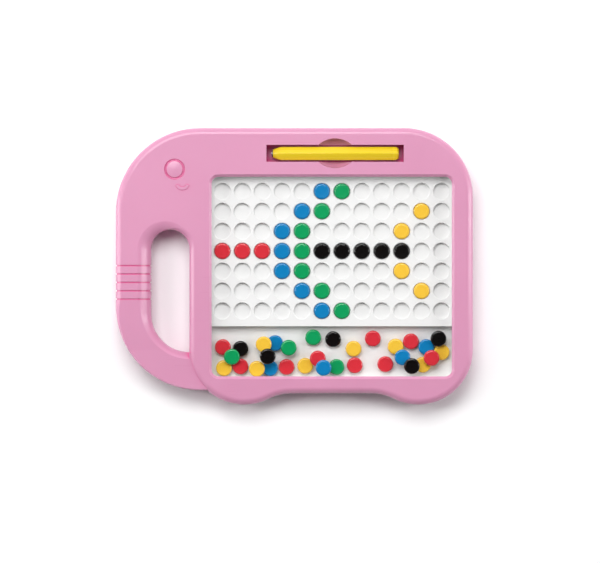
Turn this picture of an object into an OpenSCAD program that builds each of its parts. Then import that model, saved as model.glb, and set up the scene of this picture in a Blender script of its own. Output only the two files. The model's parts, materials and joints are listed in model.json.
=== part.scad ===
// Elephant-shaped magnetic bead board with a pen, lying on its back.
// The origin is the middle of the outline on the underside, +Z comes out of the face,
// +Y goes to the elephant's back and +X to its hind end.

/* [Board] */
// Length of the board from trunk to hind end
board_l = 313; // [300:1:330]
// Height of the board from back to feet
board_h = 242.5; // [236:0.5:260]
// Thickness of the board
board_t = 26; // [25:0.5:30]
// Height of the seam between the back shell and the front shell
seam_z = 10; // [9:0.5:10]
// Radius that rounds the face into the sides
edge_r = 5.5; // [4:0.5:6]
// Wall thickness of the two shells
wall = 2.4; // [1.8:0.1:2.6]

/* [Elephant outline] */
// Radius of the forehead and of the trunk's bend
head_r = 73.7; // [60:0.1:76]
// Radius of the rump
rump_r = 60.4; // [40:0.1:66]
// Radius of each foot
foot_r = 48; // [40:0.5:50]
// Distance between the centres of the two feet
foot_pitch = 152.6; // [140:0.1:160]
// Height of the trunk's lower edge above the feet
trunk_rise = 12.5; // [8:0.5:16]
// Height of the belly above the feet
belly_rise = 9.9; // [8:0.1:12]
// Distance from a foot's centre to where the belly is level
blend_w = 43; // [40:0.5:46]
// How far the trunk lies below the face where it meets the foot
trunk_drop = 2; // [1:0.1:2.4]

/* [Handle] */
// Width of the bar that the hand holds
bar_w = 30.6; // [26:0.1:34]
// Width of the rounded relief along the bar's inner side
relief_w = 11.3; // [8:0.1:11.5]
// Height of the centre of the gap's round top end
gap_top_y = 15.2; // [5:0.1:25]
// Height of the centre of the gap's round lower corner
gap_low_y = -41.7; // [-46:0.1:-36]
// Height of the middle of the grip
grip_y = -14.1; // [-20:0.1:-5]
// Distance between two grooves of the grip
grip_pitch = 7.35; // [6:0.05:9]
// Depth of the grooves of the grip
grip_depth = 0.8; // [0.4:0.1:1]

/* [Window] */
// Width of the opening over the beads
view_w = 210.4; // [208:0.1:214]
// Height of the opening over the beads
view_h = 174.8; // [172:0.1:177]
// Radius of the opening's corners
view_r = 6; // [3:0.5:10]
// Distance from the middle of the board to the middle of the opening
view_x = 32.7; // [30:0.1:35]
// Height of the middle of the opening
view_y = -9; // [-11:0.1:-8]
// Width of the bevel around the opening
bevel = 2.2; // [1:0.1:2.2]
// Thickness of the clear sheet
sheet_t = 2; // [1.5:0.1:2.5]

/* [Beads] */
// Diameter of a bead
bead_d = 14; // [12:0.5:14]
// Thickness of a bead
bead_t = 5; // [4:0.1:5]
// Distance between two pockets
pocket_pitch = 17.5; // [17:0.1:17.6]
// Diameter of a pocket
pocket_d = 14.6; // [14.4:0.1:15]
// Depth of a pocket
pocket_depth = 3.6; // [3:0.1:3.8]
// Free height between the pocket board and the clear sheet
play_h = 7.4; // [7.2:0.1:8]
// Free height in the bead tray
tray_h = 16.2; // [16:0.1:16.5]
// Height of the step between the pocket board and the tray
step_y = -52.6; // [-54:0.1:-50]

/* [Pen] */
// Length of the pen
pen_l = 112; // [90:1:114]
// Width of the six-sided barrel across its flats
pen_w = 11.6; // [10:0.1:11.6]
// Height of the middle of the pen
pen_y = 98.9; // [98:0.1:99.5]
// Distance from the middle of the board to the middle of the pen
pen_x = 35.6; // [30:0.1:40]
// Length of the recess that the pen lies in
slot_l = 120.3; // [118:0.1:124]
// Width of the recess that the pen lies in
slot_w = 14.9; // [14:0.1:15.5]
// Reach of the finger scoops from the middle of the pen
scoop_h = 13.1; // [12:0.1:13.5]

/* [Screws] */
// Radius of a screw's shank
screw_r = 1.4; // [1.2:0.1:1.5]
// Length of a screw's shank
screw_l = 12; // [10:0.5:13]

/* [Hidden] */
$fn = 96;
eps = 0.01;
slip = 0.2; // gap between pieces that move past each other

pink = [0.898, 0.616, 0.749];
white = [0.96, 0.96, 0.96];
yellow = [0.953, 0.824, 0.216];
steel = [0.75, 0.76, 0.78];

left_x = -board_l / 2;
right_x = board_l / 2;
top_y = board_h / 2;
feet_y = -board_h / 2;
foot_y = feet_y + foot_r;
hind_foot_x = right_x - foot_r;
fore_foot_x = hind_foot_x - foot_pitch;
body_x = fore_foot_x - foot_r; // the elephant's chest, which is one side of the finger gap
trunk_y = feet_y + trunk_rise;
gap_x = left_x + bar_w; // the bar's inner side
gap_low_r = body_x - gap_x;
gap_r = gap_low_r / 2;

belly_y = feet_y + belly_rise;
belly_drop = foot_y - belly_y;
lap = 4; // how far pieces of the edge run on into the part
// The hollow between the belly and each foot is an arc, made of three straight pieces.
blend_r = (pow(blend_w, 2) + pow(belly_drop, 2) - pow(foot_r, 2)) / (2 * (foot_r - belly_drop));
blend_sweep = asin(blend_w / (foot_r + blend_r));
blend_turns = [for (i = [0:2]) (i + 0.5) * blend_sweep / 3];
blend_lap = 1.75;
blend_l = 2 * blend_r * tan(blend_sweep / 6) + 2 * blend_lap;

sheet_z = board_t - wall - sheet_t;
sheet_lap = 4;
plate_z = sheet_z - play_h;
seat_z = plate_z - pocket_depth + slip;
tray_z = sheet_z - tray_h;
pan_wall = 1.6;
pan_margin = 1; // the chamber is this much wider than the opening on each side
layer = bead_t + slip;

hex_r = pen_w / sqrt(3); // from the barrel's axis to its ridges
pen_z = board_t - hex_r - 0.1;
slot_floor_z = pen_z - hex_r - 0.3;
pen_bore_r = 3;
scoop_r = 21.9;

screw_at = [
    [-85, 104], [-141, 38], [-141, -50], [-108, -93], [-44, -110],
    [32, -104.8], [108, -110], [148.2, -40], [148.2, 40], [120, 103]
];
head_z = 3; // underside of the screw heads, which lie in wells in the back
head_seat_z = 6;

// Beads in the pockets: column from the left, row from the top.
columns = 12;
rows = 7;
seated = [
    ["blue", [[6, 1], [5, 2], [4, 3], [4, 4], [4, 5], [5, 6], [6, 7]]],
    ["green", [[7, 1], [6, 2], [5, 3], [5, 4], [5, 5], [6, 6], [7, 7]]],
    ["red", [[1, 4], [2, 4], [3, 4]]],
    ["black", [[6, 4], [7, 4], [8, 4], [9, 4], [10, 4]]],
    ["yellow", [[11, 2], [10, 3], [10, 5], [11, 6]]]
];

// Loose beads in the tray that have no bead on top: [colour, x, y, layer].
loose = [
    ["green", -55, -79.5, 1], ["green", -5, -71.5, 1], ["black", -23.5, -79, 2],
    ["yellow", -33, -90, 1], ["red", -7, -88.5, 0], ["green", 16.5, -62.5, 0],
    ["black", 34, -64, 0], ["blue", 25.5, -89, 2], ["yellow", 52, -72.5, 0],
    ["red", 53, -87, 0], ["red", 69, -63.5, 0], ["red", 80, -86, 0],
    ["black", 103, -87.5, 2], ["red", 102.5, -66, 0], ["red", 120.5, -80.5, 1],
    ["black", 126.5, -63.5, 1]
];

// Loose beads that lie under others: [colour, [x, y, layer] of each].
buried = [
    ["red", [[-63, -71, 0], [-47.5, -88, 0], [20.5, -81, 1]]],
    ["black", [[-47.5, -72.5, 0]]],
    ["yellow", [[-62, -89.5, 0], [-27, -68.5, 1], [9.5, -87.5, 0], [89, -70.5, 0],
                [113, -86.5, 0], [129.5, -75.5, 0]]],
    ["blue", [[-17, -67.5, 0], [-21.5, -89.5, 0], [95, -80, 1], [116, -71, 0]]],
    ["green", [[37, -88.5, 0]]]
];

function seated_name(colour, at) = str("bead_", colour, "_c", at[0], "_r", at[1]);
function loose_name(i) = str("loose_bead_", i + 1, "_", loose[i][0]);
function buried_name(colour) = str("buried_beads_", colour);

function bead_colour(name) =
    name == "red" ? [0.851, 0.216, 0.259] :
    name == "blue" ? [0.11, 0.529, 0.765] :
    name == "green" ? [0.11, 0.635, 0.38] :
    name == "yellow" ? [0.933, 0.761, 0.259] : [0.05, 0.04, 0.04];

// ---- Outline ----

// The elephant's outline, d inside the real one.
module elephant_2d(d = 0) {
    head_c = left_x + head_r;
    rump_c = right_x - rump_r;
    inner_y = belly_y + edge_r + 1;
    translate([head_c, top_y - head_r]) circle(head_r - d);
    translate([head_c, trunk_y + head_r]) circle(head_r - d);
    translate([rump_c, top_y - rump_r]) circle(rump_r - d);
    for (x = [fore_foot_x, hind_foot_x]) translate([x, foot_y]) circle(foot_r - d);
    box_2d(left_x + d, right_x - d, trunk_y + head_r, top_y - head_r);
    box_2d(head_c, rump_c, foot_y, top_y - d);
    box_2d(head_c, right_x - d, foot_y, top_y - rump_r);
    box_2d(head_c, fore_foot_x, trunk_y + d, foot_y + 1);
    box_2d(fore_foot_x, hind_foot_x, inner_y, foot_y + 1);
    box_2d(fore_foot_x + blend_w - lap, hind_foot_x - blend_w + lap, belly_y + d, inner_y + 1);
    translate([fore_foot_x, foot_y]) belly_corner_2d(d);
    translate([hind_foot_x, foot_y]) mirror([1, 0]) belly_corner_2d(d);
}

// Moves to the middle of a straight piece of the hollow, as seen from the foot's centre.
module at_blend(turn) {
    translate([blend_w, -belly_drop - blend_r]) rotate(turn) translate([0, blend_r]) children();
}

// Fills the corner between a foot, whose centre is the origin, and the belly.
module belly_corner_2d(d) {
    for (a = blend_turns) at_blend(a) translate([-blend_l / 2, d]) square([blend_l, foot_r / 3]);
}

module box_2d(x0, x1, y0, y1) {
    translate([x0, y0]) square([x1 - x0, y1 - y0]);
}

// The gap for the fingers, d wider all round.
module gap_2d(d = 0) {
    translate([gap_x + gap_r, gap_top_y]) circle(gap_r + d);
    box_2d(gap_x - d, body_x + d, gap_low_y, gap_top_y);
    box_2d(body_x - 1, body_x + d, gap_low_y - gap_low_r, gap_low_y + 1);
    intersection() {
        translate([body_x, gap_low_y]) circle(gap_low_r + d);
        box_2d(gap_x - d, body_x, gap_low_y - gap_low_r - d, gap_low_y + 1);
    }
}

// The room inside a shell whose walls are d thick.
module room_2d(d) {
    difference() {
        elephant_2d(d);
        gap_2d(d);
        box_2d(body_x - d, body_x + d, gap_low_y - gap_low_r - d, gap_low_y);
    }
}

// A rectangle with round corners, centred on the window.
module view_2d(margin) {
    w = view_w + 2 * margin;
    h = view_h + 2 * margin;
    r = view_r + margin;
    translate([view_x, view_y]) {
        square([w - 2 * r, h], center = true);
        square([w, h - 2 * r], center = true);
        for (x = [-1, 1], y = [-1, 1]) translate([x * (w / 2 - r), y * (h / 2 - r)]) circle(r);
    }
}

// ---- Shells ----

// The rounded edge's section: 0 across is the outer side, and 0 up is where the curve starts.
module rim_2d() {
    intersection() {
        translate([edge_r, 0]) circle(edge_r);
        square(edge_r);
    }
}

// A straight edge that runs from a point along +X turned by an angle, with the part on its left.
module rim_line(from, turn, length) {
    translate([from[0], from[1], 0]) rotate([0, 0, turn]) rotate([90, 0, 90])
        linear_extrude(length) rim_2d();
}

// An edge around the outside of an arc.
module rim_arc(centre, radius, start, sweep) {
    translate([centre[0], centre[1], 0]) rotate([0, 0, start]) rotate_extrude(angle = sweep)
        translate([radius, 0]) mirror([1, 0]) rim_2d();
}

// An edge around the inside of an arc, where the part lies outside it.
module rim_hollow(centre, radius, start, sweep) {
    translate([centre[0], centre[1], 0]) rotate([0, 0, start]) rotate_extrude(angle = sweep)
        translate([radius, 0]) rim_2d();
}

// The edge round the fore foot and up to the belly, from the foot's centre.
module foot_rim() {
    rim_arc([0, 0], foot_r, 180, 125);
    for (a = blend_turns) at_blend(a) rim_line([-blend_l / 2, 0], 0, blend_l);
}

module outer_rim() {
    head_c = left_x + head_r;
    rump_c = right_x - rump_r;
    head_cy = top_y - head_r;
    rump_cy = top_y - rump_r;
    bend_cy = trunk_y + head_r;
    rim_line([rump_c, top_y], 180, rump_c - head_c);
    rim_arc([head_c, head_cy], head_r, 90, 90);
    rim_line([left_x, head_cy], -90, head_cy - bend_cy);
    rim_arc([head_c, bend_cy], head_r, 180, 90);
    rim_line([head_c, trunk_y], 0, fore_foot_x - head_c);
    translate([fore_foot_x, foot_y, 0]) foot_rim();
    translate([hind_foot_x, foot_y, 0]) mirror([1, 0, 0]) foot_rim();
    rim_line([fore_foot_x + blend_w - lap, belly_y], 0, foot_pitch - 2 * blend_w + 2 * lap);
    rim_line([right_x, foot_y], 90, rump_cy - foot_y);
    rim_arc([rump_c, rump_cy], rump_r, 0, 90);
}

module gap_rim() {
    rim_hollow([gap_x + gap_r, gap_top_y], gap_r, 0, 180);
    rim_line([gap_x, gap_low_y], 90, gap_top_y - gap_low_y);
    rim_hollow([body_x, gap_low_y], gap_low_r, 180, 90);
    rim_line([body_x, gap_top_y], -90, gap_top_y - gap_low_y + gap_low_r);
}

// A slab with the elephant's outline, the finger gap and a rounded upper edge.
module rounded_slab(h) {
    linear_extrude(h - edge_r) difference() {
        elephant_2d();
        gap_2d();
    }
    translate([0, 0, h - edge_r]) {
        linear_extrude(edge_r) difference() {
            elephant_2d(edge_r);
            gap_2d(edge_r);
        }
        outer_rim();
        gap_rim();
    }
}

// The grooves across the grip, which go all round the bar.
module grip_grooves() {
    groove_w = 1.3;
    for (i = [-2:2]) translate([0, grip_y + i * grip_pitch, 0]) rotate([90, 0, 0])
        linear_extrude(groove_w, center = true) difference() {
            translate([left_x - 1, -1]) square([bar_w + 2, board_t + 2]);
            bar_section_2d(grip_depth);
        }
}

// The bar's section, d inside the real one.
module bar_section_2d(d) {
    r = edge_r - d;
    x0 = left_x + d;
    x1 = gap_x - d;
    difference() {
        union() {
            translate([x0 + r, d]) square([x1 - x0 - 2 * r, board_t - 2 * d]);
            translate([x0, d + r]) square([x1 - x0, board_t - 2 * d - 2 * r]);
            for (x = [x0 + r, x1 - r], z = [d + r, board_t - d - r]) translate([x, z]) circle(r);
        }
        translate([gap_x, board_t]) mirror([1, 0]) relief_2d(d);
    }
}

// What the relief takes off a section of the bar: 0 across is the gap's side, 0 up is the face.
module relief_2d(d) {
    round_r = 14;
    round_in = 1.8; // the round's centre lies this far beyond the relief
    difference() {
        translate([-2, -12]) square([relief_w + round_in + 2, 13]);
        translate([relief_w + round_in, -sqrt(pow(round_r, 2) - pow(round_in, 2))])
            circle(round_r - d);
    }
}

// What the relief takes off the room inside, as a plain slope that follows the round.
module room_relief_2d() {
    polygon([[1, -wall - 8.2], [relief_w - 2.4, -wall + 0.2], [relief_w - 2.4, 1], [1, 1]]);
}

// Sweeps a section along the bar's inner side and round both ends of the gap. At the top it
// turns tighter than the gap does, so that the relief runs out there.
module along_bar() {
    turn_in = 3.9;
    top_r = gap_r - turn_in;
    translate([gap_x, gap_low_y, board_t]) rotate([90, 0, 180])
        linear_extrude(gap_top_y - gap_low_y) children();
    translate([gap_x + top_r, gap_top_y, board_t]) rotate_extrude(angle = 180)
        translate([top_r, 0]) children();
    translate([body_x, gap_low_y, board_t]) rotate([0, 0, 180]) rotate_extrude(angle = 100)
        translate([gap_low_r, 0]) children();
}

// What is taken off above the trunk, which slopes down to lie lower than the foot beside it.
module above_trunk() {
    slope_y = -25;
    floor_z = board_t - trunk_drop;
    translate([left_x - 1, 0, 0]) rotate([90, 0, 90])
        linear_extrude(fore_foot_x - left_x + 1) polygon([
            [slope_y, board_t], [foot_y, floor_z], [feet_y, floor_z],
            [feet_y, board_t + 1], [slope_y, board_t + 1]
        ]);
}

// The body's fore part, which the trunk and the relief leave as it is: r is the foot's radius.
module body_block(r, side) {
    translate([fore_foot_x, foot_y, 0]) cylinder(h = board_t + 2, r = r);
    translate([body_x + side, foot_y, 0]) cube([foot_r + 1 - side, -foot_y, board_t + 2]);
}

// The same with the foot's edge rounded, where it stands above the trunk.
module body_top() {
    r = foot_r + 0.3;
    top_z = board_t - edge_r;
    body_block(r - edge_r, 0);
    translate([fore_foot_x, foot_y, 0]) {
        cylinder(h = top_z + eps, r = r);
        translate([0, 0, top_z]) rotate_extrude() intersection() {
            translate([r - edge_r, 0]) circle(edge_r);
            translate([r - edge_r - 1, 0]) square(edge_r + 2);
        }
    }
}

// The opening over the beads, whose sides slope outwards to the face.
module view_cut() {
    straight_w = view_w / 2 - view_r;
    straight_h = view_h / 2 - view_r;
    translate([view_x, view_y, board_t - wall]) {
        rotate([90, 0, 90]) linear_extrude(2 * straight_w, center = true) flare_2d(view_h / 2);
        rotate([90, 0, 0]) linear_extrude(2 * straight_h, center = true) flare_2d(view_w / 2);
        for (x = [-1, 1], y = [-1, 1])
            translate([x * straight_w, y * straight_h, 0])
                cylinder(h = wall, r1 = view_r, r2 = view_r + bevel);
    }
    translate([0, 0, board_t]) linear_extrude(1) view_2d(bevel);
    translate([0, 0, board_t - wall - 1]) linear_extrude(1) view_2d(0);
}

module flare_2d(half) {
    polygon([[-half, 0], [half, 0], [half + bevel, wall], [-half - bevel, wall]]);
}

module pen_slot(margin, floor_z, top_z) {
    w = slot_l + 2 * margin;
    h = slot_w + 2 * margin;
    translate([pen_x - w / 2, pen_y - h / 2, floor_z]) cube([w, h, top_z - floor_z]);
}

// Room for a finger and a thumb on both sides of the pen.
module scoops() {
    translate([pen_x, pen_y, board_t]) rotate([0, 90, 0]) rotate_extrude() intersection() {
        translate([scoop_h - scoop_r, 0]) circle(scoop_r);
        translate([0, -scoop_r]) square([scoop_r, 2 * scoop_r]);
    }
}

module scoop_walls() {
    reach = sqrt(pow(scoop_r, 2) - pow(scoop_r - scoop_h, 2)) + 1;
    floor_z = board_t - scoop_h - 1.6;
    translate([pen_x - reach, pen_y - scoop_h - 1.6, floor_z])
        cube([2 * reach, 2 * scoop_h + 3.2, board_t - wall + eps - floor_z]);
}

eye_at = [-104.9, 85];
eye_r = 7.2;

// The eye: a low dome that stands in a round groove.
module eye_dome() {
    rise = 0.6;
    dome_r = (pow(eye_r, 2) + pow(rise, 2)) / (2 * rise);
    translate([eye_at[0], eye_at[1], board_t]) intersection() {
        translate([0, 0, rise - dome_r]) sphere(dome_r);
        translate([0, 0, -1]) cylinder(h = 3, r = eye_r);
    }
}

module eye_groove() {
    translate([eye_at[0], eye_at[1], board_t]) rotate_extrude()
        translate([eye_r + 0.9, 0]) circle(1.1, $fn = 32);
}

// The smile under the eye: a raised arc.
module smile() {
    smile_r = 5;
    translate([-98, 73, board_t]) rotate([0, 0, 200]) rotate_extrude(angle = 140)
        translate([smile_r, 0]) intersection() {
            circle(1.3, $fn = 32);
            translate([-2, -0.5]) square([4, 1.1]);
        }
}

module front_shell() {
    boss_r = 3.6;
    bore_depth = head_seat_z + screw_l + 1 - seam_z;
    color(pink) difference() {
        union() {
            difference() {
                translate([0, 0, seam_z]) rounded_slab(board_t - seam_z);
                difference() {
                    translate([0, 0, seam_z - 1])
                        linear_extrude(board_t - wall - seam_z + 1) room_2d(wall);
                    difference() {
                        union() {
                            translate([0, 0, -wall]) above_trunk();
                            along_bar() room_relief_2d();
                        }
                        body_block(foot_r - 2.5, wall);
                    }
                }
            }
            for (p = screw_at) translate([p[0], p[1], seam_z])
                cylinder(h = board_t - wall - 1 - seam_z, r = boss_r);
            for (p = screw_at) translate([p[0], p[1], seam_z + 8])
                cylinder(h = board_t - wall / 2 - 1 - seam_z - 8, r = boss_r - 0.6);
            pen_slot(2, slot_floor_z - 1.8, board_t - wall + eps);
            scoop_walls();
            eye_dome();
            smile();
        }
        view_cut();
        pen_slot(0, slot_floor_z, board_t + 1);
        scoops();
        eye_groove();
        difference() {
            above_trunk();
            body_top();
        }
        difference() {
            along_bar() relief_2d(0);
            body_block(foot_r + 0.3, 0);
        }
        grip_grooves();
        for (p = screw_at) translate([p[0], p[1], seam_z - 1])
            cylinder(h = bore_depth + 1, r = screw_r + 0.05);
    }
}

module back_shell() {
    post_r = 4.4;
    well_r = 3.2;
    rib_w = 1.6;
    color(pink) difference() {
        union() {
            difference() {
                translate([0, 0, seam_z]) mirror([0, 0, 1]) rounded_slab(seam_z);
                translate([0, 0, wall]) linear_extrude(seam_z) room_2d(wall);
            }
            for (p = screw_at) translate([p[0], p[1], wall - 1])
                cylinder(h = seam_z - wall + 1, r = post_r);
            for (y = [-80, -30, 20, 65]) translate([view_x - view_w / 2 + 6, y, wall - 0.5])
                cube([view_w - 12, rib_w, tray_z - pan_wall - wall + 0.5]);
        }
        grip_grooves();
        for (p = screw_at) translate([p[0], p[1], 0]) {
            translate([0, 0, -1]) cylinder(h = head_seat_z + 1, r = well_r);
            cylinder(h = seam_z + 1, r = screw_r + 0.3);
        }
    }
}

module housing_screws() {
    head_r = 2.8;
    cross_l = 3.4;
    cross_w = 0.8;
    color(steel) for (p = screw_at) translate([p[0], p[1], 0]) {
        difference() {
            translate([0, 0, head_z]) cylinder(h = head_seat_z - head_z, r = head_r);
            for (a = [0, 90]) translate([0, 0, head_z]) rotate([0, 0, a])
                cube([cross_l, cross_w, 3], center = true);
        }
        translate([0, 0, head_seat_z]) cylinder(h = screw_l - 2, r = screw_r);
        translate([0, 0, head_seat_z + screw_l - 2]) cylinder(h = 2, r1 = screw_r, r2 = 0.5);
    }
}

// ---- Window, board and tray ----

module window() {
    color([0.85, 0.92, 0.95, 0.3]) translate([0, 0, sheet_z])
        linear_extrude(sheet_t) view_2d(sheet_lap);
}

// A white pan under the whole window. Its lower part is the tray for the loose beads.
module bead_tray() {
    color(white) difference() {
        translate([0, 0, tray_z - pan_wall])
            linear_extrude(sheet_z - tray_z + pan_wall) view_2d(pan_margin + pan_wall);
        translate([0, 0, tray_z]) linear_extrude(tray_h + 1) view_2d(pan_margin);
    }
}

function pocket_x(c) = view_x + 0.2 + (c - (columns + 1) / 2) * pocket_pitch;
function pocket_y(r) = view_y + 22.4 - (r - (rows + 1) / 2) * pocket_pitch;

// The board with a pocket for each dot of a picture. It drops into the pan's upper part.
module bead_board() {
    skirt = 1.6;
    floor_t = 1.4;
    under_h = plate_z - pocket_depth - floor_t - tray_z;
    lead_in = 0.35; // chamfer around each pocket
    color(white) difference() {
        translate([0, 0, tray_z]) linear_extrude(plate_z - tray_z) board_2d(0);
        translate([0, 0, tray_z - 1]) linear_extrude(under_h + 1) board_2d(skirt);
        for (c = [1:columns], r = [1:rows]) translate([pocket_x(c), pocket_y(r), plate_z]) {
            translate([0, 0, -pocket_depth]) cylinder(h = pocket_depth + 1, d = pocket_d);
            translate([0, 0, -lead_in])
                cylinder(h = lead_in + eps, d1 = pocket_d, d2 = pocket_d + 2 * (lead_in + eps));
        }
    }
}

module board_2d(d) {
    intersection() {
        view_2d(pan_margin - slip - d);
        box_2d(left_x, right_x, step_y + d, top_y);
    }
}

// ---- Beads ----

module bead() {
    r = bead_d / 2;
    round_r = 1.7;
    rotate_extrude() {
        square([r - round_r, bead_t]);
        translate([0, round_r]) square([r, bead_t - 2 * round_r]);
        for (z = [round_r, bead_t - round_r]) translate([r - round_r, z]) circle(round_r);
    }
}

module seated_bead(colour, at) {
    color(bead_colour(colour)) translate([pocket_x(at[0]), pocket_y(at[1]), seat_z]) bead();
}

module tray_bead(colour, x, y, level) {
    color(bead_colour(colour)) translate([x, y, tray_z + slip + level * layer]) bead();
}

// ---- Pen ----

// Puts its children with +Z running along the pen from its tip, and a ridge facing up.
module along_pen() {
    translate([pen_x - pen_l / 2, pen_y, pen_z]) rotate([0, 90, 0]) children();
}

cap_l = 5.2;
nose_z = 1.6;
ferrule_end = 3.2;
magnet_l = 14;
magnet_r = 2;

module pen_barrel() {
    nose_l = 7;
    nose_r = 3.9;
    barrel_end = pen_l - cap_l;
    color(yellow) along_pen() difference() {
        intersection() {
            cylinder(h = barrel_end, r = hex_r, $fn = 6);
            union() {
                translate([0, 0, nose_z]) cylinder(h = nose_l, r1 = nose_r, r2 = hex_r + 0.3);
                translate([0, 0, nose_z + nose_l])
                    cylinder(h = barrel_end - nose_z - nose_l, r = hex_r + 0.3);
            }
        }
        translate([0, 0, nose_z - 1]) cylinder(h = ferrule_end - nose_z + 1, r = 3.05);
        translate([0, 0, nose_z]) cylinder(h = magnet_l, r = magnet_r + 0.05);
        translate([0, 0, magnet_l + 0.2]) cylinder(h = pen_l, r = pen_bore_r);
    }
}

module pen_end_cap() {
    plug_l = 6;
    dome_l = 4.2;
    color(yellow) along_pen() {
        intersection() {
            translate([0, 0, pen_l - cap_l]) cylinder(h = cap_l, r = hex_r, $fn = 6);
            union() {
                translate([0, 0, pen_l - cap_l]) cylinder(h = cap_l - dome_l, r = hex_r + 0.3);
                translate([0, 0, pen_l - dome_l])
                    cylinder(h = dome_l, r1 = hex_r + 0.3, r2 = hex_r - 3);
            }
        }
        translate([0, 0, pen_l - cap_l - plug_l]) cylinder(h = plug_l, r = pen_bore_r - 0.05);
    }
}

module pen_ferrule() {
    color([0.25, 0.25, 0.27]) along_pen() difference() {
        translate([0, 0, 0.8]) cylinder(h = ferrule_end - 0.8, r = 3);
        cylinder(h = pen_l, r = magnet_r + 0.05);
    }
}

module pen_magnet() {
    color(steel) along_pen() {
        cylinder(h = 0.5, r1 = magnet_r - 0.5, r2 = magnet_r);
        translate([0, 0, 0.5]) cylinder(h = magnet_l - 0.5, r = magnet_r);
    }
}

// ---- Nodes ----

front_shell();
back_shell();
window();
bead_board();
bead_tray();
housing_screws();
pen_barrel();
pen_end_cap();
pen_ferrule();
pen_magnet();
for (s = seated) for (at = s[1])
    seated_bead(s[0], at);
for (i = [0:len(loose) - 1])
    tray_bead(loose[i][0], loose[i][1], loose[i][2], loose[i][3]);
for (b = buried)
    for (p = b[1]) tray_bead(b[0], p[0], p[1], p[2]);
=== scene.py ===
import json
import math

import bmesh
import bpy
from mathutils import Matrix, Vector


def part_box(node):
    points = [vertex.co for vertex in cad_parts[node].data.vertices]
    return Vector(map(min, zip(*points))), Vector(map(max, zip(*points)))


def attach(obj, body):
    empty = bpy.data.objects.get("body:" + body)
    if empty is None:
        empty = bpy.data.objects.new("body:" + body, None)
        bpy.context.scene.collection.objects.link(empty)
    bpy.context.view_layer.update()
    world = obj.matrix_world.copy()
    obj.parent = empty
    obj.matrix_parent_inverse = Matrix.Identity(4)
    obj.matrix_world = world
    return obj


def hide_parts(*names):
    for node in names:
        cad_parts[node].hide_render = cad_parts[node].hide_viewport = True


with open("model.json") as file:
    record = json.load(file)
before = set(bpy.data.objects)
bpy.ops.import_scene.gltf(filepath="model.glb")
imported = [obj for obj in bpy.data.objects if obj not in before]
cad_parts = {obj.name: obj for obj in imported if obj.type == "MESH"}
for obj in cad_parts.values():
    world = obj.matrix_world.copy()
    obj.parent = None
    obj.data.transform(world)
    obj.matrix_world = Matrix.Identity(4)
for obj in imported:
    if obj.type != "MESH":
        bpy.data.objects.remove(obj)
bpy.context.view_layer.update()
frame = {"nodes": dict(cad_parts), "record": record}

MM = 0.001
BODY_OF = {
    node: body
    for body, nodes in frame["record"]["behaviour"]["bodies"].items()
    for node in nodes
}
SLOT_OF = {part["node"]: part["material_slot"] for part in frame["record"]["subparts"]}


# ---- Materials ----

NOISE_SPAN = (0.3, 0.7)  # nearly all values of a noise lie in it
SCRATCH_SCALE = (18, 900, 18)  # makes a noise long along X and thin across it
HOLLOW = 6 * MM  # grooves and hollows narrower than this get painted shade: a darker, deeper colour painted in
HOLLOW_SAMPLES = 8
HOLLOW_SPAN = (0.5, 0.96)  # how open a place is where the painted shade is full and where it ends
SHEET_GLOSS = 0.01  # how much of the clear sheet is mirror when seen head on
SHEET_GLOSS_EDGE_ON = 0.4  # and how much more when seen edge on
SHEET_GLOSS_POWER = 4


def set_range(node, taken, given):
    """Makes a Map Range node turn the span taken into the span given."""
    names = ("From Min", "From Max", "To Min", "To Max")
    for name, number in zip(names, (*taken, *given)):
        node.inputs[name].default_value = number


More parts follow.
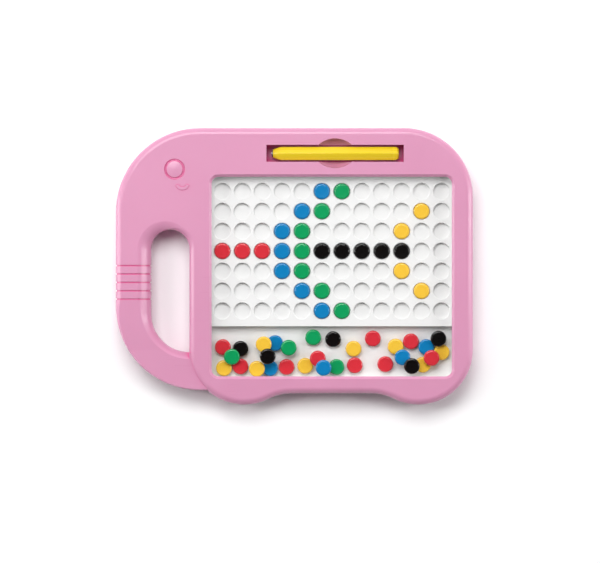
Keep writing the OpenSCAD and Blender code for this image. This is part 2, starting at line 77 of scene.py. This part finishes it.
class Nodes:
    """A material's node tree, with short ways to add nodes and link them."""

    def __init__(self, name):
        self.material = bpy.data.materials.new(name)
        self.material.use_nodes = True
        self.tree = self.material.node_tree
        self.shader = self.tree.nodes["Principled BSDF"]
        self.object_place = self.add("ShaderNodeTexCoord").outputs["Object"]

    def add(self, kind, **inputs):
        node = self.tree.nodes.new(kind)
        for name, value in inputs.items():
            node.inputs[name.replace("_", " ")].default_value = value
        return node

    def link(self, source, target):
        self.tree.links.new(source, target)

    def math(self, operation, *values):
        """A Math node's result. Each value is a number or another node's output."""
        node = self.add("ShaderNodeMath")
        node.operation = operation
        for socket, value in zip(node.inputs, values):
            if isinstance(value, (int, float)):
                socket.default_value = value
            else:
                self.link(value, socket)
        return node.outputs[0]

    def noise(self, scale, detail=3.0, roughness=0.55):
        node = self.add("ShaderNodeTexNoise", Scale=scale, Detail=detail, Roughness=roughness)
        self.link(self.object_place, node.inputs["Vector"])
        return node.outputs["Fac"]

    def scratches(self, turn):
        """Fine lines, much longer than they are wide, that run turn degrees from X."""
        place = self.add("ShaderNodeMapping")
        place.inputs["Rotation"].default_value = (0, 0, math.radians(turn))
        place.inputs["Scale"].default_value = SCRATCH_SCALE
        self.link(self.object_place, place.inputs["Vector"])
        node = self.add("ShaderNodeTexNoise", Scale=1.0, Detail=4.0, Roughness=0.65)
        self.link(place.outputs["Vector"], node.inputs["Vector"])
        return node.outputs["Fac"]

    def spread(self, noise, low, high):
        """noise, spread from low to high."""
        node = self.add("ShaderNodeMapRange")
        set_range(node, NOISE_SPAN, (low, high))
        self.link(noise, node.inputs["Value"])
        return node.outputs["Result"]

    def tint(self, noise, colour, change, painted_shade_colour=None):
        """colour, a little darker and lighter with noise. The last argument, when given, is
        painted
        shade: a darker, deeper colour painted into hollows and grooves narrower than HOLLOW, in
        place of the shade there and the colour their walls throw on each other."""
        ramp = self.add("ShaderNodeValToRGB")
        ends = ramp.color_ramp.elements
        for end, place, share in zip(ends, NOISE_SPAN, (1 - change, 1 + change)):
            end.position = place
            end.color = (*[min(1, c * share) for c in colour], 1)
        self.link(noise, ramp.inputs["Fac"])
        shown = ramp.outputs["Color"]
        if painted_shade_colour is not None:
            shown = self.paint_shade_into_hollows(shown, painted_shade_colour)
        self.link(shown, self.shader.inputs["Base Color"])

    def paint_shade_into_hollows(self, colour, painted_shade_colour):
        """Painted shade: colour where the surface is open, and the given shade colour painted
        into its own hollows.
        """
        # painted shade: ambient occlusion of the piece's own surface picks where the shade
        # colour is painted
        openness = self.add("ShaderNodeAmbientOcclusion", Distance=HOLLOW)
        openness.samples = HOLLOW_SAMPLES
        openness.only_local = True
        share = self.add("ShaderNodeMapRange")
        set_range(share, HOLLOW_SPAN, (0, 1))
        self.link(openness.outputs["AO"], share.inputs["Value"])
        mix = self.add("ShaderNodeMix")
        mix.data_type = "RGBA"
        in_hollow, in_open = [socket for socket in mix.inputs if socket.type == "RGBA"]
        in_hollow.default_value = (*painted_shade_colour, 1)
        self.link(share.outputs["Result"], mix.inputs["Factor"])
        self.link(colour, in_open)
        return next(socket for socket in mix.outputs if socket.type == "RGBA")

    def bump(self, heights, distance):
        """heights are (noise, share) pairs, added up as the height of the surface."""
        total = None
        for noise, share in heights:
            scaled = self.math("MULTIPLY", noise, share)
            total = scaled if total is None else self.math("ADD", total, scaled)
        node = self.add("ShaderNodeBump", Distance=distance, Strength=1.0)
        self.link(total, node.inputs["Height"])
        self.link(node.outputs["Normal"], self.shader.inputs["Normal"])


def moulded_plastic(
    name, colour, rough, grain=0.02, coat=0.0, change=0.015, subsurface=0.0, painted_shade_colour=None
):
    """Injection-moulded plastic: a fine eroded grain, faint flow marks and rubbed-in
    scratches. grain is the height of the bumps, in mm."""
    n = Nodes(name)
    shader = n.shader.inputs
    shader["IOR"].default_value = 1.5
    shader["Specular IOR Level"].default_value = 0.4
    shader["Coat Weight"].default_value = coat
    shader["Coat Roughness"].default_value = 0.12
    shader["Subsurface Weight"].default_value = subsurface
    shader["Subsurface Radius"].default_value = (1.0, 0.45, 0.6)
    shader["Subsurface Scale"].default_value = 2 * MM
    fine = n.noise(2600, detail=2)
    flow = n.noise(14, detail=3)
    worn = n.scratches(35)
    # when a shade colour is given, the last argument paints shade into the hollows
    n.tint(flow, colour, change, painted_shade_colour)
    moulded = n.spread(flow, rough - 0.04, rough + 0.04)
    rubbed = n.spread(worn, -0.03, 0.05)
    n.link(n.math("ADD", moulded, rubbed), shader["Roughness"])
    n.bump([(fine, 1.0), (flow, 0.6), (worn, 0.25)], grain * MM)
    return n.material


def clear_sheet():
    """A polished clear sheet: what is behind it shows, and it mirrors more towards grazing."""
    n = Nodes("clear_sheet")
    shader = n.shader.inputs
    shader["Base Color"].default_value = (1, 1, 1, 1)
    shader["Metallic"].default_value = 1.0
    facing = n.add("ShaderNodeLayerWeight", Blend=0.5).outputs["Facing"]
    edge_on = n.math("POWER", facing, SHEET_GLOSS_POWER)
    gloss = n.math("MULTIPLY_ADD", edge_on, SHEET_GLOSS_EDGE_ON, SHEET_GLOSS)
    n.link(gloss, shader["Alpha"])
    n.link(n.spread(n.noise(30, detail=2), 0.02, 0.06), shader["Roughness"])
    n.material.blend_method = "BLEND"
    return n.material


def plated_steel(name, colour, rough):
    """Bright plating with fine brush marks."""
    n = Nodes(name)
    shader = n.shader.inputs
    shader["Metallic"].default_value = 1.0
    brushed = n.noise(900, detail=4)
    n.tint(brushed, colour, 0.06)
    n.link(n.spread(brushed, rough - 0.06, rough + 0.08), shader["Roughness"])
    n.bump([(brushed, 1.0)], 0.01 * MM)
    return n.material


BEAD_COLOURS = {
    "bead_red": (0.64, 0.03, 0.045),
    "bead_blue": (0.004, 0.2, 0.47),
    "bead_green": (0.004, 0.315, 0.098),
    "bead_yellow": (0.86, 0.525, 0.047),
    "bead_black": (0.003, 0.002, 0.002),
}
MATERIALS = {
    "pink_abs": moulded_plastic(
        "pink_abs", (0.62, 0.268, 0.42), 0.32, grain=0.018, coat=0.3, subsurface=0.1,
        # painted shade: a darker, deeper pink painted into the shell's grooves, recesses,
        # scoops and the eye and smile rings
        painted_shade_colour=(0.66, 0.07, 0.25),
    ),
    "clear_sheet": clear_sheet(),
    "white_board": moulded_plastic(
        "white_board", (0.79, 0.79, 0.785), 0.5, grain=0.01, change=0.005
    ),
    "screw_steel": plated_steel("screw_steel", (0.62, 0.62, 0.64), 0.3),
    "pen_yellow": moulded_plastic(
        "pen_yellow", (0.78, 0.58, 0.018), 0.26, grain=0.01, coat=0.25
    ),
    "ferrule_grey": moulded_plastic("ferrule_grey", (0.09, 0.09, 0.1), 0.4),
    "magnet_steel": plated_steel("magnet_steel", (0.75, 0.75, 0.77), 0.18),
}
for slot, bead_colour in BEAD_COLOURS.items():
    MATERIALS[slot] = moulded_plastic(slot, bead_colour, 0.12, grain=0.004, coat=0.2)


def finish_cad():
    for name, node in frame["nodes"].items():
        for place in node.material_slots:
            place.material = MATERIALS[SLOT_OF[name]]


# ---- Meshes ----


def new_piece(name, bm, node, smooth_angle):
    """An object from a bmesh that stands for a CAD node and moves with its body."""
    mesh = bpy.data.meshes.new(name)
    bmesh.ops.recalc_face_normals(bm, faces=bm.faces)
    bm.to_mesh(mesh)
    bm.free()
    mesh.set_sharp_from_angle(angle=math.radians(smooth_angle))
    piece = bpy.data.objects.new(name, mesh)
    bpy.context.scene.collection.objects.link(piece)
    piece.data.materials.append(MATERIALS[SLOT_OF[node]])
    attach(piece, BODY_OF[node])
    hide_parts(node)


def rings_to_mesh(bm, rings):
    """Skins a list of closed rings, all with the same number of points, and closes its ends."""
    rows = [[bm.verts.new(p) for p in ring] for ring in rings]
    count = len(rows[0])
    for low, high in zip(rows, rows[1:]):
        for i in range(count):
            j = (i + 1) % count
            face = bm.faces.new((low[i], low[j], high[j], high[i]))
            face.smooth = True
    for row in (rows[0], rows[-1]):
        bm.faces.new(row).smooth = True


# ---- Beads ----

BEAD_R = 7 * MM
BEAD_T = 5 * MM
BEAD_ROUND = 1.7 * MM
BEAD_SIDES = 72
ROUND_STEPS = 8
DISH = 0.08 * MM  # how far each flat side is hollowed inside its rim
DISH_FLAT = 0.7  # the hollow is flat out to this share of the rim's radius
DISH_SHARES = (0.35, 0.6, 0.75, 0.85, 0.93, 1.0)  # of the rim's radius
SAME_PLACE = 1e-6  # CAD vertices closer than this are one


def bead_profile():
    """(radius, height) from the middle of the top to the middle of the underside."""
    rim_r = BEAD_R - BEAD_ROUND
    half = BEAD_T / 2
    upper = []
    for share in DISH_SHARES:
        rise = max(0.0, (share - DISH_FLAT) / (1 - DISH_FLAT))
        upper.append((rim_r * share, half - DISH * (1 - rise * rise * (3 - 2 * rise))))
    for i in range(1, ROUND_STEPS + 1):
        a = math.radians(90 * (1 - i / ROUND_STEPS))
        upper.append((rim_r + BEAD_ROUND * math.cos(a), half - BEAD_ROUND * (1 - math.sin(a))))
    return upper + [(r, -z) for r, z in reversed(upper)]


def add_bead(bm, centre):
    turns = [2 * math.pi * i / BEAD_SIDES for i in range(BEAD_SIDES)]
    rings_to_mesh(bm, [
        [centre + Vector((radius * math.cos(a), radius * math.sin(a), height)) for a in turns]
        for radius, height in bead_profile()
    ])


def bead_centres(node):
    """The middle of each bead in a CAD node, from the node's separate solids."""
    bm = bmesh.new()
    bm.from_mesh(frame["nodes"][node].data)
    bmesh.ops.remove_doubles(bm, verts=bm.verts, dist=SAME_PLACE)
    left = set(bm.verts)
    centres = []
    while left:
        island, edge = set(), [left.pop()]
        while edge:
            vert = edge.pop()
            island.add(vert)
            for link in vert.link_edges:
                other = link.other_vert(vert)
                if other in left:
                    left.remove(other)
                    edge.append(other)
        low = [min(v.co[k] for v in island) for k in range(3)]
        high = [max(v.co[k] for v in island) for k in range(3)]
        centres.append(Vector([(a + b) / 2 for a, b in zip(low, high)]))
    bm.free()
    return sorted(centres, key=tuple)


def build_beads():
    for node in sorted(frame["nodes"]):
        if SLOT_OF[node] not in BEAD_COLOURS:
            continue
        bm = bmesh.new()
        for centre in bead_centres(node):
            add_bead(bm, centre)
        new_piece("look_" + node, bm, node, smooth_angle=60)


# ---- Pen ----
# Lengths here are in mm. A station is (distance along the pen, width across the flats,
# radius of the ridges).

HEX_SIDES = 6
CORNER_STEPS = 5
NOSE = ((0.0, 7.0, 3.3), (0.25, 7.6, 3.5), (2.5, 9.2, 3.0), (4.6, 10.5, 2.0), (6.2, 11.3, 1.2))
NOSE_L = 7.2
RIDGE_R = 0.7
SEAM_L, SEAM_IN = 0.12, 0.16  # the small step in each part where barrel and cap meet
CROWN_L = 3.8  # the rounded end
CROWN_SHARES = (0.25, 0.5, 0.7, 0.85, 0.95, 1.0)  # of CROWN_L
CROWN_IN = 0.45  # the share of the width that the end loses
CAP_RIDGE_R, CROWN_RIDGE_MORE = 0.8, 2.0


def hex_ring(x, y, z, flats, corner):
    """A hexagon with rounded corners round the pen's axis, with a corner on top."""
    ring = []
    reach = flats / math.sqrt(3)  # from the axis to a sharp corner
    back = corner * 2 / math.sqrt(3)
    for side in range(HEX_SIDES):
        middle = math.radians(60 * side)
        for step in range(CORNER_STEPS):
            turn = math.radians(-30 + 60 * step / (CORNER_STEPS - 1))
            across = (reach - back) * math.sin(middle) + corner * math.sin(middle + turn)
            up = (reach - back) * math.cos(middle) + corner * math.cos(middle + turn)
            ring.append(Vector((x, y + across, z + up)))
    return ring


def pen_part(node, stations):
    """A six-sided piece through stations, whose distances are from the pen's tip."""
    low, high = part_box("pen_barrel")
    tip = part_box("pen_magnet")[0][0]
    y = (low[1] + high[1]) / 2
    z = (low[2] + high[2]) / 2
    bm = bmesh.new()
    rings_to_mesh(bm, [hex_ring(tip + t * MM, y, z, w * MM, c * MM) for t, w, c in stations])
    new_piece("look_" + node, bm, node, smooth_angle=50)


def build_pen():
    low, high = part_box("pen_barrel")
    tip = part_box("pen_magnet")[0][0]
    flats = (high[1] - low[1]) / MM
    start = (low[0] - tip) / MM
    end = (high[0] - tip) / MM
    whole = (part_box("pen_end_cap")[1][0] - tip) / MM
    seam = (end, flats - SEAM_IN, RIDGE_R)
    pen_part("pen_barrel", [
        *[(start + t, w, c) for t, w, c in NOSE],
        (start + NOSE_L, flats, RIDGE_R),
        (end - SEAM_L, flats, RIDGE_R),
        seam,
    ])
    cap = [seam, (end + SEAM_L, flats, RIDGE_R), (whole - CROWN_L, flats, CAP_RIDGE_R)]
    for share in CROWN_SHARES:
        squeeze = 1 - math.sqrt(1 - share * share)
        cap.append((
            whole - CROWN_L * (1 - share),
            flats * (1 - CROWN_IN * squeeze),
            CAP_RIDGE_R + CROWN_RIDGE_MORE * squeeze,
        ))
    pen_part("pen_end_cap", cap)


# ---- Stage, light and camera ----

FLOOR_W = 6
FLOOR_DROP = 0.5 * MM  # keeps the floor clear of the board's flat underside
VIEW_W = 0.525  # width that the camera sees at the height of the board's face
VIEW_CENTRE = (0.0049, -0.0133)
LENS = 220
SENSOR = 36
# How bright the walls are as a direction's Z and Y rise over a span. The two are multiplied.
WORLD_RAMPS = (("Z", (0.3, 0.9), (0.85, 0.05)), ("Y", (-0.7, 0.3), (0.3, 1.0)))
LIGHTS = {  # place, size and watts. Each one points at the middle of the board.
    "key": ((-0.22, 0.85, 1.6), (1.3, 1.0), 26),
    "left_strip": ((-1.2, 0.1, 0.6), (0.3, 1.4), 9),
    "right_strip": ((1.2, 0.1, 0.65), (0.25, 1.3), 8),
}


def build_floor():
    bpy.ops.mesh.primitive_plane_add(size=FLOOR_W, location=(0, 0, -FLOOR_DROP))
    floor = bpy.context.object
    floor.name = "floor"
    n = Nodes("floor_white")
    n.tint(n.noise(400, detail=3), (0.96, 0.96, 0.96), 0.004)
    n.shader.inputs["Roughness"].default_value = 0.9
    n.shader.inputs["Specular IOR Level"].default_value = 0.1
    floor.data.materials.append(n.material)


def build_world():
    """White studio walls, dimmer below the board's feet, and a darker ceiling, so that glossy
    flat faces stay deep in colour."""
    world = bpy.data.worlds.new("studio")
    bpy.context.scene.world = world
    world.use_nodes = True
    tree = world.node_tree
    background = tree.nodes["Background"]
    background.inputs["Color"].default_value = (1, 1, 1, 1)
    direction = tree.nodes.new("ShaderNodeTexCoord")
    parts = tree.nodes.new("ShaderNodeSeparateXYZ")
    tree.links.new(direction.outputs["Generated"], parts.inputs["Vector"])
    product = tree.nodes.new("ShaderNodeMath")
    product.operation = "MULTIPLY"
    for factor, (axis, taken, given) in zip(product.inputs, WORLD_RAMPS):
        ramp = tree.nodes.new("ShaderNodeMapRange")
        ramp.interpolation_type = "SMOOTHSTEP"
        set_range(ramp, taken, given)
        tree.links.new(parts.outputs[axis], ramp.inputs["Value"])
        tree.links.new(ramp.outputs["Result"], factor)
    tree.links.new(product.outputs[0], background.inputs["Strength"])


def build_lights():
    for name, (place, size, watts) in LIGHTS.items():
        data = bpy.data.lights.new(name, "AREA")
        data.shape = "RECTANGLE"
        data.size, data.size_y = size
        data.energy = watts
        light = bpy.data.objects.new(name, data)
        light.location = place
        light.rotation_euler = (-Vector(place)).to_track_quat("-Z", "Y").to_euler()
        bpy.context.scene.collection.objects.link(light)


def build_camera():
    """A long lens straight above the board, as in the photo."""
    data = bpy.data.cameras.new("camera")
    data.lens = LENS
    data.sensor_width = SENSOR
    camera = bpy.data.objects.new("camera", data)
    face_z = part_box("front_shell")[1][2]
    camera.location = (*VIEW_CENTRE, face_z + VIEW_W * LENS / SENSOR)
    camera.rotation_euler = (0, 0, 0)
    bpy.context.scene.collection.objects.link(camera)
    bpy.context.scene.camera = camera


build_camera()
build_floor()
build_world()
build_lights()
finish_cad()
build_beads()
build_pen()
bpy.context.scene.view_settings.view_transform = "Standard"
